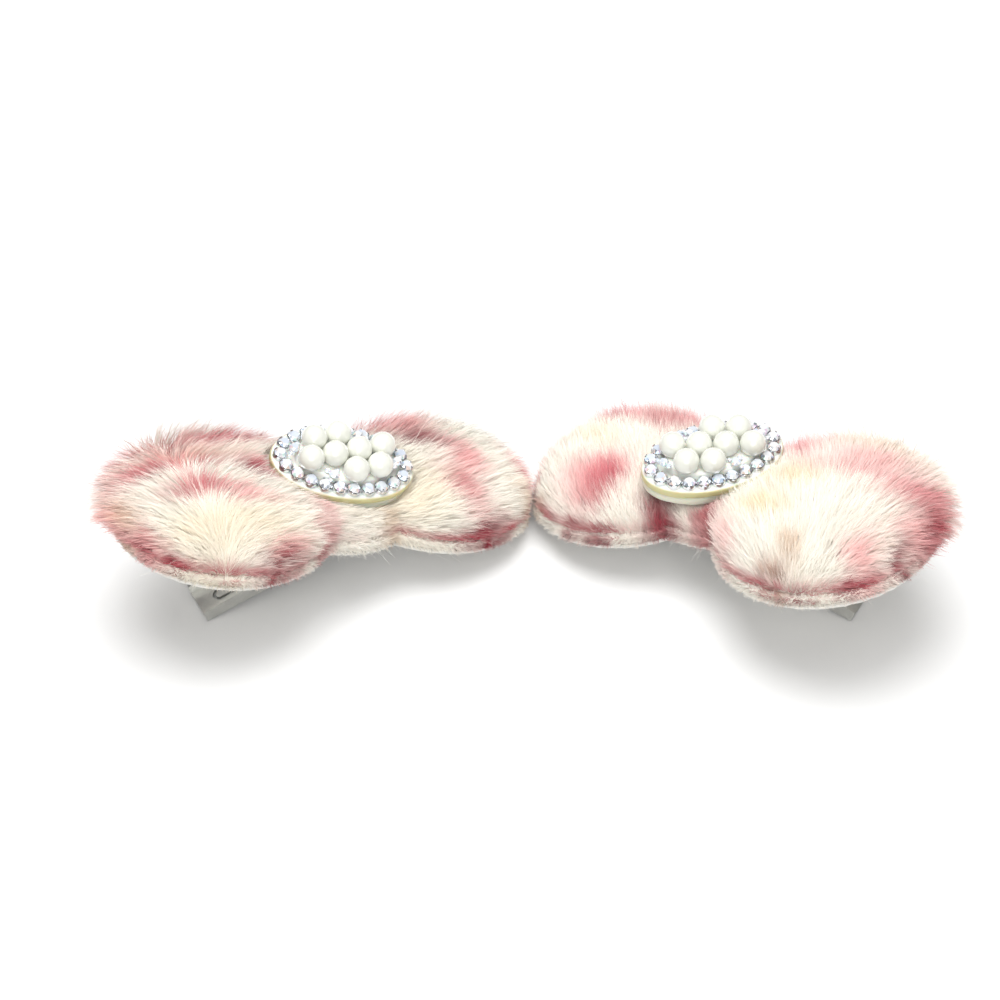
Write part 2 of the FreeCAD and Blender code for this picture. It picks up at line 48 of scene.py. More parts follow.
# origin and ornament's seat in millimetres, angles in degrees; a lobe is (offset across, half width);
# the cut is the flat length and width of the felt, in metres
BOWS = {
    "left": {"sign": 1.0, "origin": (-36.2825, 4.4498, 13.4992), "turn": 28.0, "tilt": 17.4,
             "clip_turn": 0.0, "ornament": (0.0, 11.0, 3.5), "seat": (-1.0, 0.8, 7.3),
             "outer": (-0.8, 17.8), "inner": (-2.0, 15.5), "cut": (0.0856, 0.0356)},
    "right": {"sign": -1.0, "origin": (38.7175, 5.5498, 13.4992), "turn": -34.0, "tilt": 17.4,
              "clip_turn": 4.0, "ornament": (34.0, 9.0, 12.0), "seat": (-1.6, -0.1, 7.3),
              "outer": (-3.5, 20.0), "inner": (-3.4, 16.4), "cut": (0.0856, 0.0401)},
}

# layers of a bow and the bend of its inner end
BACKING_TOP, UNDERLAY_TOP = 0.8, 2.6
DROOP_START, DROOP_RADIUS = 28.5, 34.0

# lobes and waist: place along the bow, half length, height of the stuffing; turn in degrees
OUTER_PLACE, OUTER_HALF_LENGTH, OUTER_HEIGHT = -24.5, 21.5, 6.2
INNER_PLACE, INNER_HALF_LENGTH, INNER_HEIGHT, INNER_TURN = 19.6, 20.0, 5.0, -14.0
WAIST_PLACE, WAIST_OFFSET, WAIST_HALF_LENGTH, WAIST_HEIGHT = -0.5, -1.0, 16.5, 4.4
FELT_WAIST, SKIN_WAIST, SKIN_TRIM = 12.9, 11.8, 1.1

FUR_COUNT, FRINGE_COUNT = 72000, 16000
FUR_LENGTH, FUR_UNEVEN, FUR_SHORTEST, FUR_LONGEST = 6.2, 0.8, 1.6, 11.0
FUR_CONTACT, FUR_MINGLE = 1.2, 0.8

# length and width that a texture layout takes in
LAYOUT = np.array([110.0, 60.0])

# ornament: heights, ellipses as (half length, half width), stones, cups and pearls
PAD_TOP, PLATE_TOP, BOSS_TOP = 2.2, 4.0, 5.8
PAD_SIZE, PLATE_SIZE, BOSS_SIZE = (13.6, 8.2), (14.0, 8.6), (10.8, 5.3)
RING_SIZE, RING_COUNT, RING_TURN = (12.3, 6.8), 22, 19.0
BEAD_RING_SIZE, BEAD_COUNT, BEAD_RADIUS = (9.9, 4.5), 30, 0.6
STONE_RADIUS, STONE_TABLE, STONE_HEIGHT, CUP_RADIUS = 1.28, 0.78, 1.35, 1.38
PEARL_RADIUS, PEARL_PITCH, PEARL_FLAT = 2.5, 5.05, 40.0

# clip: drop of the pin below the felt, slope of the tail in degrees, glue bead
PIVOT_DROP, TAIL_SLOPE = 5.5, 28.5
GLUE_THICK, GLUE_HALF_LENGTH, GLUE_HALF_WIDTH = 0.6, 19.0, 3.0


# ---- small helpers ------------------------------------------------------------

def linear(red, green, blue):
    """Linear colour of an sRGB one given from 0 to 255."""
    c = np.array([red, green, blue], float) / 255.0
    return np.where(c <= 0.04045, c / 12.92, ((c + 0.055) / 1.055) ** 2.4)


def turn_matrix(yaw, pitch, roll):
    """Rotation by yaw about Z, then pitch about the new Y, then roll about the new X."""
    a, b, c = np.radians([yaw, pitch, roll])
    rz = np.array([[math.cos(a), -math.sin(a), 0], [math.sin(a), math.cos(a), 0], [0, 0, 1]])
    ry = np.array([[math.cos(b), 0, math.sin(b)], [0, 1, 0], [-math.sin(b), 0, math.cos(b)]])
    rx = np.array([[1, 0, 0], [0, math.cos(c), -math.sin(c)], [0, math.sin(c), math.cos(c)]])
    return rz @ ry @ rx


def bow_frame(side):
    """Rotation and origin of a bow."""
    bow = BOWS[side]
    return turn_matrix(bow["turn"], bow["sign"] * bow["tilt"], 0.0), np.array(bow["origin"])


def clip_frame(side):
    """Rotation and origin of a clip, under its bow."""
    rotation, origin = bow_frame(side)
    return rotation @ turn_matrix(BOWS[side]["clip_turn"], 0.0, 0.0), origin


def ornament_frame(side):
    """Rotation and origin of an ornament, on its bow's waist."""
    rotation, origin = bow_frame(side)
    turn, lean, tip = BOWS[side]["ornament"]
    placed = rotation @ turn_matrix(turn, -BOWS[side]["sign"] * tip, lean)
    return placed, origin + rotation @ np.array(BOWS[side]["seat"])


def lobes(side, trim, waist):
    """The bow's ellipses as (x, y, half length, half width, turn in degrees, height), trimmed all round."""
    outer, inner = BOWS[side]["outer"], BOWS[side]["inner"]
    return [(OUTER_PLACE, outer[0], OUTER_HALF_LENGTH - trim, outer[1] - trim, 0.0, OUTER_HEIGHT),
            (INNER_PLACE, inner[0], INNER_HALF_LENGTH - trim, inner[1] - trim, INNER_TURN, INNER_HEIGHT),
            (WAIST_PLACE, WAIST_OFFSET, WAIST_HALF_LENGTH, waist, 0.0, WAIST_HEIGHT)]


def mirrored(points, side):
    """Bow points with x measured towards the inner end, as points of the bow's frame."""
    return points * np.array([BOWS[side]["sign"], 1.0, 1.0])


def waves(points, scale, seed):
    """Smooth noise from -1 to 1 as a sum of turned sine waves."""
    source = np.random.default_rng(seed)
    total = np.zeros(len(points))
    for _ in range(6):
        way = source.normal(size=points.shape[1])
        way *= source.uniform(0.6, 1.5) / (scale * np.linalg.norm(way))
        total += np.sin(points @ way * 2 * math.pi + source.uniform(0, 6.3))
    return total / 3.2


def make_mesh(name, points, faces, frame_of, material, flip=False, smooth=True):
    """A mesh object from millimetre points in a frame (rotation, origin)."""
    rotation, origin = frame_of
    placed = (np.asarray(points, float) @ rotation.T + origin) * 0.001
    sizes = [len(face) for face in faces]
    corners = [index for face in faces for index in (face[::-1] if flip else face)]
    return finish_mesh(name, placed, np.array(corners), np.array(sizes), material, smooth)


def finish_mesh(name, placed, corners, sizes, material, smooth=True):
    """A mesh object from metre points, a flat list of face corners and the faces' sizes."""
    data = bpy.data.meshes.new(name)
    data.vertices.add(len(placed))
    data.vertices.foreach_set("co", placed.astype(np.float32).ravel())
    data.loops.add(len(corners))
    data.loops.foreach_set("vertex_index", corners.astype(np.int32))
    data.polygons.add(len(sizes))
    starts = np.concatenate([[0], np.cumsum(sizes)[:-1]])
    data.polygons.foreach_set("loop_start", starts.astype(np.int32))
    data.update(calc_edges=True)
    data.validate()
    data.polygons.foreach_set("use_smooth", np.full(len(sizes), smooth))
    data.materials.append(material)
    obj = bpy.data.objects.new(name, data)
    bpy.context.scene.collection.objects.link(obj)
    return obj


def paint(obj, name, colours, domain="POINT"):
    """Writes linear colours on the points or face corners of a mesh."""
    layer = obj.data.color_attributes.new(name=name, type="FLOAT_COLOR", domain=domain)
    full = np.concatenate([colours, np.ones((len(colours), 1))], axis=1)
    layer.data.foreach_set("color", full.astype(np.float32).ravel())


def lay_flat(obj, flat):
    """A texture layout that looks straight down on the piece, from points from 0 to 1."""
    index = np.zeros(len(obj.data.loops), np.int32)
    obj.data.loops.foreach_get("vertex_index", index)
    layer = obj.data.uv_layers.new(name="OFBake")
    layer.data.foreach_set("uv", flat[index].astype(np.float32).ravel())


def place(obj, body, slot_name, *nodes):
    """Puts a piece on its body and lets it stand for CAD nodes."""
    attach(obj, body)
    if nodes:
        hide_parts(*nodes)
    return obj


# ---- outlines and turned surfaces -----------------------------------------------

def inside_value(x, y, lobe):
    """1 at a lobe's centre, 0 on its edge, negative outside."""
    cx, cy, half_length, half_width, turn, _ = lobe
    a = math.radians(turn)
    u = (x - cx) * math.cos(a) + (y - cy) * math.sin(a)
    v = -(x - cx) * math.sin(a) + (y - cy) * math.cos(a)
    return 1.0 - (u / half_length) ** 2 - (v / half_width) ** 2


def outside(points, parts):
    """Which points lie outside every lobe."""
    return np.max([inside_value(points[:, 0], points[:, 1], lobe) for lobe in parts], axis=0) < 0.0


def outline(parts, angles):
    """Distance from the middle of the waist to the outline of the joined lobes."""
    reach = np.linspace(0.0, 52.0, 521)
    x, y = np.outer(np.cos(angles), reach), np.outer(np.sin(angles), reach)
    best = np.max([inside_value(x, y, lobe) for lobe in parts], axis=0)
    last = best.shape[1] - 1 - np.argmax(best[:, ::-1] > 0, axis=1)
    rows = np.arange(len(angles))
    here, after = best[rows, last], best[rows, np.minimum(last + 1, len(reach) - 1)]
    found = reach[last] + (reach[1] - reach[0]) * here / (here - after)
    kernel = np.array([1, 3, 5, 3, 1]) / 13.0
    wrapped = np.concatenate([found[-2:], found, found[:2]])
    return np.convolve(wrapped, kernel, mode="valid")


def ellipse_outline(size, turn, angles):
    """Distance from the middle to a turned ellipse of a given half length and half width."""
    half_length, half_width = size
    a = angles - math.radians(turn)
    return 1.0 / np.sqrt((np.cos(a) / half_length) ** 2 + (np.sin(a) / half_width) ** 2)


def turned(edge, angles, rows):
    """Closed surface through rows of (share, inset, height) from its lower to its upper middle."""
    count = len(angles)
    points = [[0.0, 0.0, rows[0][2]]]
    for share, inset, height in rows[1:-1]:
        radius = share * (edge - inset)
        ring = np.stack([radius * np.cos(angles), radius * np.sin(angles), np.full(count, height)], 1)
        points.extend(ring.tolist())
    points.append([0.0, 0.0, rows[-1][2]])
    faces = []
    for k in range(count):
        after = (k + 1) % count
        faces.append((0, 1 + after, 1 + k))
        for row in range(len(rows) - 3):
            low, high = 1 + row * count, 1 + (row + 1) * count
            faces.append((low + k, low + after, high + after, high + k))
        top = 1 + (len(rows) - 3) * count
        faces.append((top + k, top + after, len(points) - 1))
    return np.array(points), faces


def slab_rows(low, high, rounding, shares=(0.15, 0.3, 0.45, 0.6, 0.72, 0.83, 0.92)):
    """Rows of a slab with rounded edges, for turned()."""
    steps = 4
    rows = [(0.0, 0.0, low)] + [(share, rounding, low) for share in shares]
    for step in range(steps + 1):
        a = math.pi / 2 * step / steps
        rows.append((1.0, rounding * (1 - math.sin(a)), low + rounding * (1 - math.cos(a))))
    for step in range(steps + 1):
        a = math.pi / 2 * step / steps
        rows.append((1.0, rounding * (1 - math.cos(a)), high - rounding * (1 - math.sin(a))))
    rows += [(share, rounding, high) for share in shares[::-1]]
    return rows + [(0.0, 0.0, high)]


def droop(points):
    """Bends the inner end down round a cylinder."""
    past = np.clip(points[:, 0] - DROOP_START, 0.0, DROOP_RADIUS * 0.9)
    bent = points.copy()
    bent[:, 2] -= DROOP_RADIUS - np.sqrt(DROOP_RADIUS ** 2 - past ** 2)
    return bent


def dome(x, y, parts):
    """Height of the stuffed skin over the underlay."""
    total = np.zeros_like(x)
    for lobe in parts:
        total += (lobe[5] * np.sqrt(np.clip(inside_value(x, y, lobe), 0, 1))) ** 4
    return total ** 0.25


# ---- colour pattern ------------------------------------------------------------

CREAM = linear(255, 249, 238)
TINTS = {
    "rose": linear(222, 112, 124), "dark": linear(150, 30, 52), "pink": linear(244, 176, 176),
    "tan": linear(214, 182, 150), "brown": linear(168, 116, 92), "yellow": linear(246, 226, 186),
    "grey": linear(236, 228, 214), "red": linear(192, 66, 82),
}

# patches as (x, y, half length, half width, turn in degrees, colour, strength), in bow millimetres
# the thin dark and red strokes along the near rims are partly the print's dark spots and partly painted
# shade in the seam under the cover's overhanging fur
PATCHES = {
    "left": [
        (-34, 5.5, 8, 2.2, 8, "rose", 0.9), (-31, 4.5, 6, 1.4, 8, "red", 0.8),
        (-20, 13, 11, 2.6, 2, "rose", 0.9), (-19, 14.5, 8, 1.4, 0, "red", 0.6),
        (-38, 12.5, 6, 2.4, 25, "pink", 0.7), (-33, 14, 7, 2.0, 14, "rose", 0.6),
        (-18.5, 1.5, 4.4, 1.9, -20, "dark", 1.0), (-12, -2.5, 6, 1.4, -20, "red", 0.5),
        (-13, 2, 9, 2.6, -20, "rose", 0.75), (-6, -1.5, 7, 2, -12, "pink", 0.7),
        (-29, -3.5, 4.6, 1.8, -14, "red", 0.9), (-23, -5.6, 6, 1.5, -20, "pink", 0.7),
        (-46, 0, 4.6, 5.4, 20, "pink", 0.8), (-42.5, -2.5, 2.4, 4.5, 20, "tan", 0.6),
        (-41.5, -8.5, 3.4, 2.2, -40, "rose", 0.6), (-43.2, -10.2, 5.0, 1.0, -48, "dark", 0.9),
        (-38.5, -15.2, 4.2, 0.8, -32, "dark", 0.95), (-33, -17.8, 4, 0.7, -6, "red", 0.8),
        (-20.5, -17.5, 3.6, 1.0, 8, "dark", 0.95), (-20, -16.2, 4.4, 1.3, 8, "rose", 0.5),
        (-9, -7, 1.8, 6, 12, "rose", 0.6), (-10.5, -13.5, 1.6, 4.0, 20, "red", 0.65),
        (-3, -6, 5, 4, 0, "grey", 0.7), (4, -9, 5, 5, 0, "grey", 0.5),
        (5, -11, 1.6, 4.5, 0, "tan", 0.5), (12, 14, 9, 3.2, -6, "rose", 0.8),
        (6, 15, 8, 1.6, 0, "red", 0.5), (19, 11, 5, 3.4, 0, "pink", 0.8),
        (19, 5.6, 5.6, 2.6, -20, "dark", 0.85), (23, 1.6, 4, 2.4, -30, "red", 0.6),
        (25, -2.5, 2.8, 4.6, 10, "pink", 0.9), (21, -9, 2.8, 6, 15, "rose", 0.75),
        (22.5, -16.6, 5.8, 1.1, 8, "dark", 1.0), (30, -16.4, 3, 0.9, 12, "red", 0.7),
        (37, -5, 2.2, 7, 10, "pink", 0.9), (37.5, -2, 1.5, 3.6, 0, "rose", 0.7),
        (34.5, -12, 2.2, 4, 20, "tan", 0.6), (-26, 7, 7, 1.4, 0, "tan", 0.35),
        (-27, -12, 10, 4, 0, "yellow", 0.4), (12, -8, 6, 6, 0, "yellow", 0.35),
    ],
    "right": [
        (29, 11, 8, 3.0, 10, "rose", 0.8), (31, 8, 5, 2.0, 10, "red", 0.5),
        (18, 9.5, 6, 4.0, 20, "red", 0.7), (12, 13, 7, 3, 0, "rose", 0.6),
        (20, -10, 4.5, 5.5, 24, "rose", 0.95), (19, -12, 2.6, 3.6, 24, "red", 0.7),
        (24, -11, 5, 4.5, 24, "pink", 0.6), (37, -10, 1.6, 5.5, 20, "rose", 0.6),
        (32, -16.5, 2.0, 2.0, 20, "tan", 0.5), (28, 0, 6, 3, 0, "yellow", 0.4),
        (7, -10, 3.2, 5, 10, "dark", 0.85), (5.5, -13.5, 4, 1.8, 10, "dark", 0.9),
        (-3, -9, 2.5, 5.5, 6, "dark", 0.9), (-4, -12, 3.4, 4, 10, "red", 0.5),
        (14, -19.2, 9, 0.8, -10, "dark", 0.85), (25, -20.2, 5, 0.8, -20, "dark", 0.85),
        (-11, 11, 5, 2.4, 20, "rose", 0.75), (-16, 13.5, 4.5, 2.4, 10, "pink", 0.7),
        (-25, 14.5, 8, 3, 0, "tan", 0.5), (-28, 9, 8, 3, -10, "pink", 0.7),
        (-28, 4, 10, 2.2, -8, "rose", 0.6), (-14, 7, 4, 2.2, 20, "rose", 0.6),
        (-38, 5, 6.5, 3, -38, "rose", 0.7), (-43, 1.5, 3.6, 4.5, -30, "red", 0.95),
        (-45, -1.5, 2.2, 4, -20, "dark", 0.7), (-42, -4, 4, 3.4, 0, "pink", 0.7),
        (-43, -10, 1.7, 4.4, -24, "dark", 0.85), (-39.5, -18, 4.4, 1.2, -44, "dark", 0.9),
        (-37, -13, 3.2, 4.5, -30, "pink", 0.7), (-25, -17, 3.0, 1.7, 30, "tan", 0.7),
        (-24, -20.8, 2.8, 1.1, 0, "brown", 0.8), (-32, -22.8, 4.8, 0.9, -16, "dark", 0.9),
        (-24, -23.6, 6, 0.8, 6, "red", 0.7), (-11, -16, 2.2, 4.5, -40, "pink", 0.5),
        (-17, -1, 6, 3, 0, "yellow", 0.8), (-16, -9, 5, 2.4, 0, "yellow", 0.8),
        (0, -4, 4, 6, 0, "grey", 0.4),
    ],
}


def pattern(x, y, side):
    """Fur colour at points of a bow, with wavy patch edges."""
    flat = np.stack([x, y], 1)
    x = x + 0.9 * waves(flat, 7.0, 5) + 0.35 * waves(flat, 2.2, 6)
    y = y + 0.7 * waves(flat, 7.0, 7) + 0.3 * waves(flat, 2.2, 8)
    colour = np.tile(CREAM, (len(x), 1))
    for px, py, half_length, half_width, turn, name, strength in PATCHES[side]:
        a = math.radians(turn)
        u = ((x - px) * math.cos(a) + (y - py) * math.sin(a)) / half_length
        v = (-(x - px) * math.sin(a) + (y - py) * math.cos(a)) / half_width
        share = (strength * np.exp(-(u * u + v * v) ** 1.15))[:, None]
        colour = colour * (1 - share) + TINTS[name] * share
    return colour


# ---- materials -----------------------------------------------------------------

def material(name, colour, rough, spread=0.06, scale=400.0, attribute=None, bump=0.0, **sockets):
    """A procedural finish: noise on colour, an optional painted colour, a bump."""
    made = bpy.data.materials.new(name)
    made.use_nodes = True
    nodes, links = made.node_tree.nodes, made.node_tree.links
    shader = nodes["Principled BSDF"]
    where = nodes.new("ShaderNodeTexCoord")
    noise = nodes.new("ShaderNodeTexNoise")
    noise.inputs["Scale"].default_value = scale
    noise.inputs["Detail"].default_value = 3.0
    links.new(where.outputs["Object"], noise.inputs["Vector"])
    level = nodes.new("ShaderNodeMapRange")
    level.inputs["To Min"].default_value = 1.0 - spread
    level.inputs["To Max"].default_value = 1.0 + spread
    level.inputs["From Min"].default_value = 0.3
    level.inputs["From Max"].default_value = 0.7
    links.new(noise.outputs["Fac"], level.inputs["Value"])
    mix = nodes.new("ShaderNodeMix")
    mix.data_type = "RGBA"
    mix.blend_type = "MULTIPLY"
    mix.inputs["Factor"].default_value = 1.0
    first = [socket for socket in mix.inputs if socket.name == "A" and socket.type == "RGBA"][0]
    second = [socket for socket in mix.inputs if socket.name == "B" and socket.type == "RGBA"][0]
    result = [socket for socket in mix.outputs if socket.type == "RGBA"][0]
    if attribute:
        paint_node = nodes.new("ShaderNodeAttribute")
        paint_node.attribute_name = attribute
        links.new(paint_node.outputs["Color"], first)
    else:
        first.default_value = (*colour, 1.0)
    links.new(level.outputs["Result"], second)
    links.new(result, shader.inputs["Base Color"])
    shader.inputs["Roughness"].default_value = rough
    for key, value in sockets.items():
        shader.inputs[key.replace("_", " ")].default_value = value
    if bump > 0:
        relief = nodes.new("ShaderNodeBump")
        relief.inputs["Strength"].default_value = 0.5
        relief.inputs["Distance"].default_value = bump
        links.new(noise.outputs["Fac"], relief.inputs["Height"])
        links.new(relief.outputs["Normal"], shader.inputs["Normal"])
    return made


FUR = material("fur", None, 0.85, 0.05, 350.0, attribute="tint", Specular_IOR_Level=0.15,
               Sheen_Weight=0.25, Sheen_Roughness=0.5)
SKIN = material("skin", None, 0.95, 0.08, 500.0, attribute="tint", Specular_IOR_Level=0.1)
FELT = material("felt", linear(232, 230, 224), 0.95, 0.07, 900.0, bump=0.0002,
                Specular_IOR_Level=0.15, Sheen_Weight=0.3)
FIBRE = material("fibre", linear(244, 242, 236), 0.9, 0.05, 700.0, bump=0.0004)
PEARL = material("pearl", linear(234, 235, 225), 0.16, 0.03, 260.0, Specular_IOR_Level=0.8,
                 Coat_Weight=1.0, Coat_Roughness=0.03)
PLATE = material("plate", None, 0.3, 0.08, 300.0, attribute="tint", Subsurface_Weight=0.25,
                 Subsurface_Scale=0.001)
MILKY = material("milky", linear(232, 232, 214), 0.35, 0.05, 250.0, Subsurface_Weight=0.4,
                 Subsurface_Scale=0.002)
CUP = material("cup", linear(222, 224, 226), 0.2, 0.06, 800.0, Metallic=1.0)
STONE = material("stone", None, 0.05, 0.04, 900.0, attribute="flash", Metallic=0.25,
                 Specular_IOR_Level=0.9, Coat_Weight=1.0, Coat_Roughness=0.02)
GLUE = material("glue", linear(226, 220, 200), 0.3, 0.06, 300.0, Subsurface_Weight=0.3,
                Subsurface_Scale=0.001)
NICKEL = material("nickel", linear(206, 206, 202), 0.28, 0.08, 500.0, Metallic=1.0)
SPRING = material("spring_wire", linear(190, 190, 188), 0.22, 0.06, 900.0, Metallic=1.0)


# ---- fur -----------------------------------------------------------------------

COMB = {"left": np.array([1.0, 0.28, 0.0]), "right": np.array([-0.05, 1.0, 0.15])}


def unit(vectors):
    return vectors / np.maximum(np.linalg.norm(vectors, axis=1, keepdims=True), 1e-9)


def sample(points, faces, count, keep):
    """Seeded spots on the faces whose middle passes keep, with their smooth normals."""
    quads = np.array([face for face in faces if len(face) == 4])
    triangles = np.concatenate([quads[:, [0, 1, 2]], quads[:, [0, 2, 3]]])
    a, b, c = (points[triangles[:, k]] for k in range(3))
    cross = np.cross(b - a, c - a)
    area = np.linalg.norm(cross, axis=1) / 2
    normals = np.zeros_like(points)
    for k in range(3):
        np.add.at(normals, triangles[:, k], cross)
    normals = unit(normals)
    middle = (a + b + c) / 3
    area = area * keep(middle, unit(cross))
    chosen = RNG.choice(len(triangles), count, p=area / area.sum())
    u, v = RNG.random(count), RNG.random(count)
    fold = u + v > 1
    u[fold], v[fold] = 1 - u[fold], 1 - v[fold]
    w = 1 - u - v
    t = triangles[chosen]
    spots = points[t[:, 0]] * w[:, None] + points[t[:, 1]] * u[:, None] + points[t[:, 2]] * v[:, None]
    ways = normals[t[:, 0]] * w[:, None] + normals[t[:, 1]] * u[:, None] + normals[t[:, 2]] * v[:, None]
    return spots, unit(ways)


def over_ornament(world, side, grow=0.5):
    """Which world points, in millimetres, are within the ornament's footprint and height."""
    low, high = -0.1, 10.0
    rotation, origin = ornament_frame(side)
    local = (world - origin) @ rotation
    turn = math.radians(-BOWS[side]["sign"] * RING_TURN)
    u = local[:, 0] * math.cos(turn) + local[:, 1] * math.sin(turn)
    v = -local[:, 0] * math.sin(turn) + local[:, 1] * math.cos(turn)
    within = (u / (PLATE_SIZE[0] + grow)) ** 2 + (v / (PLATE_SIZE[1] + grow)) ** 2 < 1
    return within & (local[:, 2] > low) & (local[:, 2] < high)


def grow_fur(side, label, roots, normals, length, lean, colours, parts):
    """Tapered strands from bow-frame roots, bent along the nap and gathered into tufts."""
    rotation, origin = bow_frame(side)
    start = mirrored(roots, side) @ rotation.T + origin
    out = unit(mirrored(normals, side) @ rotation.T)
    count = len(start)
    spread = np.clip((-roots[:, 0] - 17.0) / 27.0, 0, 1)[:, None]
    outward = rotation @ np.array([-BOWS[side]["sign"], 0.0, 0.0]) + np.array([0.0, 0.35, 0.0])
    comb = COMB[side] * (1 - spread) + outward * spread
    along = unit(comb - np.sum(out * comb, 1)[:, None] * out)
    wild = RNG.normal(scale=0.16, size=(count, 3))
    first = unit(out * 0.95 + along * 0.45 * lean[:, None] + wild)
    last = unit(out * 0.28 + along * 1.05 * lean[:, None] + wild * 1.4
                + np.array([0.0, 0.0, -0.12]))
    steps = np.array([0.0, 0.36, 0.72, 1.0])
    strands = np.stack([start + length[:, None] * (s * first + s * s * 0.5 * (last - first))
                        for s in steps], 1)
    # tufts: strand tips drift towards the tip of a nearby leader
    leaders = RNG.choice(count, max(8, count // 22), replace=False)
    tree = kdtree.KDTree(len(leaders))
    for number, leader in enumerate(leaders):
        tree.insert(Vector(strands[leader, 2]), number)
    tree.balance()
    nearest = np.array([tree.find(Vector(point))[1] for point in strands[:, 2]])
    pull = RNG.uniform(0.15, 0.6, count)
    for k in (1, 2, 3):
        goal = strands[leaders[nearest], k] * 0.75 + strands[:, k] * 0.25
        share = (pull * steps[k] ** 1.6)[:, None]
        strands[:, k] = strands[:, k] * (1 - share) + goal * share
    # strands keep clear of the ornament: shorter first, then left out
    for _ in range(4):
        bad = np.zeros(count, bool)
        for k in range(4):
            bad |= over_ornament(strands[:, k], side)
        strands[bad] = strands[bad, :1] + (strands[bad] - strands[bad, :1]) * 0.62
    bad = np.zeros(count, bool)
    for k in range(4):
        bad |= over_ornament(strands[:, k], side, 0.2)
    keep = ~bad
    # the two bows meet at a plane and press each other's fur back
    limit = FUR_CONTACT + RNG.normal(scale=FUR_MINGLE, size=(count, 1))
    edge_side = BOWS[side]["sign"]
    past = (strands[:, :, 0] - limit) * edge_side
    strands[:, :, 0] -= np.where(past > 0, past * 0.6, 0) * edge_side
    strands[:, :, 2] = np.maximum(strands[:, :, 2], 0.25)
    strands, out, colours, length = strands[keep], out[keep], colours[keep], length[keep]
    count = len(strands)
    ahead = unit(strands[:, 3] - strands[:, 0])
    across = unit(np.cross(out, ahead))
    spin = RNG.uniform(-0.6, 0.6, count)[:, None]
    across = unit(across * np.cos(spin) + np.cross(ahead, across) * np.sin(spin))
    width = RNG.uniform(0.07, 0.12, count)[:, None] * 0.5
    verts = np.empty((count, 7, 3))
    for k, share in ((0, 1.0), (1, 0.85), (2, 0.55)):
        verts[:, 2 * k] = strands[:, k] + across * width * share
        verts[:, 2 * k + 1] = strands[:, k] - across * width * share
    verts[:, 6] = strands[:, 3]
    shade = RNG.normal(1.0, 0.05, count)[:, None]
    base = np.clip(colours * shade, 0, 1)
    # painted shade and light along each strand: darker towards the root, deep in the pile, and paler
    # towards the cream at the tip
    tints = np.empty((count, 7, 3))
    tints[:, 0:2] = (base * 0.92)[:, None]
    tints[:, 2:4] = (base * 0.97)[:, None]
    tints[:, 4:6] = base[:, None]
    tints[:, 6] = base * 0.9 + CREAM * 0.1
    soft = unit(out * 0.7 + unit(np.cross(ahead, across)) * 0.5)
    flat = (mirrored(np.repeat(roots[keep], 7, 0), "left")[:, :2]
            + (verts.reshape(-1, 3) - np.repeat(strands[:, 0], 7, 0))[:, :2]
            * np.array([edge_side, 1.0]))
    flat = np.clip(flat / LAYOUT + 0.5, 0.001, 0.999).reshape(count, 7, 2)
    pattern_corners = np.array([0, 1, 3, 2, 2, 3, 5, 4, 4, 5, 6])
    for part in range(parts):
        pick = np.arange(part, count, parts)
        many = len(pick)
        corners = (np.arange(many)[:, None] * 7 + pattern_corners).ravel()
        obj = finish_mesh(f"{side}_{label}_{part + 1}", verts[pick].reshape(-1, 3) * 0.001,
                          corners, np.tile([4, 4, 3], many), FUR)
        paint(obj, "tint", tints[pick].reshape(-1, 3))
        lay_flat(obj, flat[pick].reshape(-1, 2))
        obj.data.normals_split_custom_set_from_vertices(np.repeat(soft[pick], 7, 0).tolist())
        place(obj, f"{side}_bow", "plush_upper" if label == "fur" else "plush_lower")


# ---- bows ------------------------------------------------------------------------

